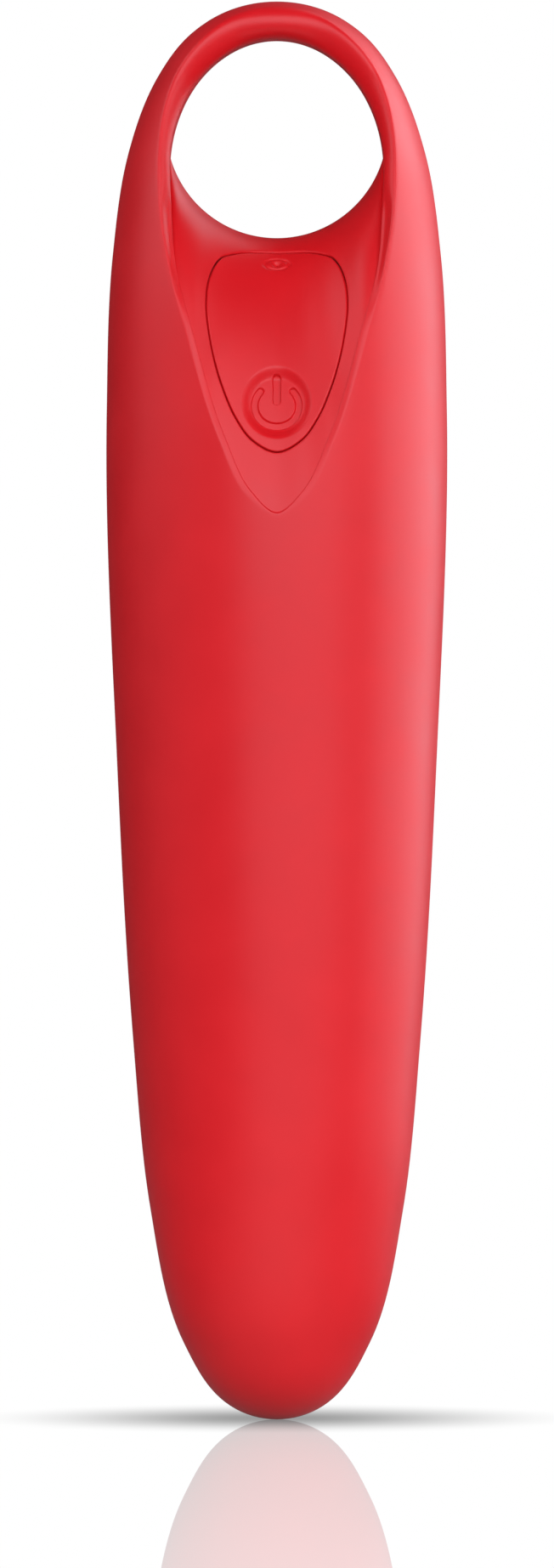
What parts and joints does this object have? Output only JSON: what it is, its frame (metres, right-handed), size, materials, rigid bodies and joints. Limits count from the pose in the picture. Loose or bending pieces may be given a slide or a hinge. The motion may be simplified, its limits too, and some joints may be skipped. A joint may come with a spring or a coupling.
{
  "type": "handheld massager",
  "caption": "Slim handheld massager with a soft skin, a finger loop, a scooped control panel, a power button and a vibration motor inside.",
  "frame": {"origin": "the rounded tip, the lowest point of the body, on the body's axis", "axes": "+Z along the body from the tip to the finger loop, -Y towards the control panel, +X to the right of someone facing the panel"},
  "size_m": [0.0324, 0.0324, 0.135],
  "materials": {
    "red_silicone": "satin",
    "shell_plastic": "matte",
    "black_plastic": "matte",
    "grey_plastic": "matte",
    "board": "satin",
    "steel": "satin",
    "tungsten": "satin",
    "brass": "satin",
    "copper": "satin",
    "magnet": "matte",
    "carbon": "matte",
    "blue_film": "gloss",
    "foam": "matte",
    "red_wire": "satin",
    "black_wire": "satin"
  },
  "bodies": {
    "housing": {"silicone_sleeve": "red_silicone", "control_panel": "red_silicone", "tact_switch_body": "black_plastic", "circuit_board": "board", "microcontroller": "black_plastic", "charge_controller": "black_plastic", "board_screw_1": "steel", "board_screw_2": "steel", "charging_jack": "black_plastic", "jack_pin": "brass", "front_housing": "shell_plastic", "rear_housing": "shell_plastic", "housing_screw_1": "steel", "housing_screw_2": "steel", "housing_screw_3": "steel", "housing_screw_4": "steel", "battery_cell": "steel", "battery_sleeve": "blue_film", "battery_foam_pad": "foam", "battery_lead_positive": "red_wire", "battery_lead_negative": "black_wire", "motor_can": "steel", "motor_end_cap": "grey_plastic", "motor_magnet_left": "magnet", "motor_magnet_right": "magnet", "front_bushing": "brass", "rear_bushing": "brass", "brush_left": "carbon", "brush_right": "carbon", "motor_terminal_left": "brass", "motor_terminal_right": "brass", "motor_clamp": "grey_plastic", "motor_lead_left": "black_wire", "motor_lead_right": "red_wire"},
    "button": {"power_button": "red_silicone", "button_actuator": "shell_plastic", "switch_stem": "grey_plastic"},
    "rotor": {"motor_shaft": "steel", "armature_core": "steel", "armature_windings": "copper", "commutator": "copper", "eccentric_weight": "tungsten"}
  },
  "joints": [
    {"name": "button_press", "type": "slide", "parent": "housing", "child": "button", "axis": [0, 0.9441, -0.3298], "range_m": [0, 0.0004], "stiffness_N_per_m": 3000},
    {"name": "motor_spin", "type": "hinge", "parent": "housing", "child": "rotor", "pos_m": [0, 0, 0.03], "axis": [0, 0, 1], "continuous": true}
  ]
}
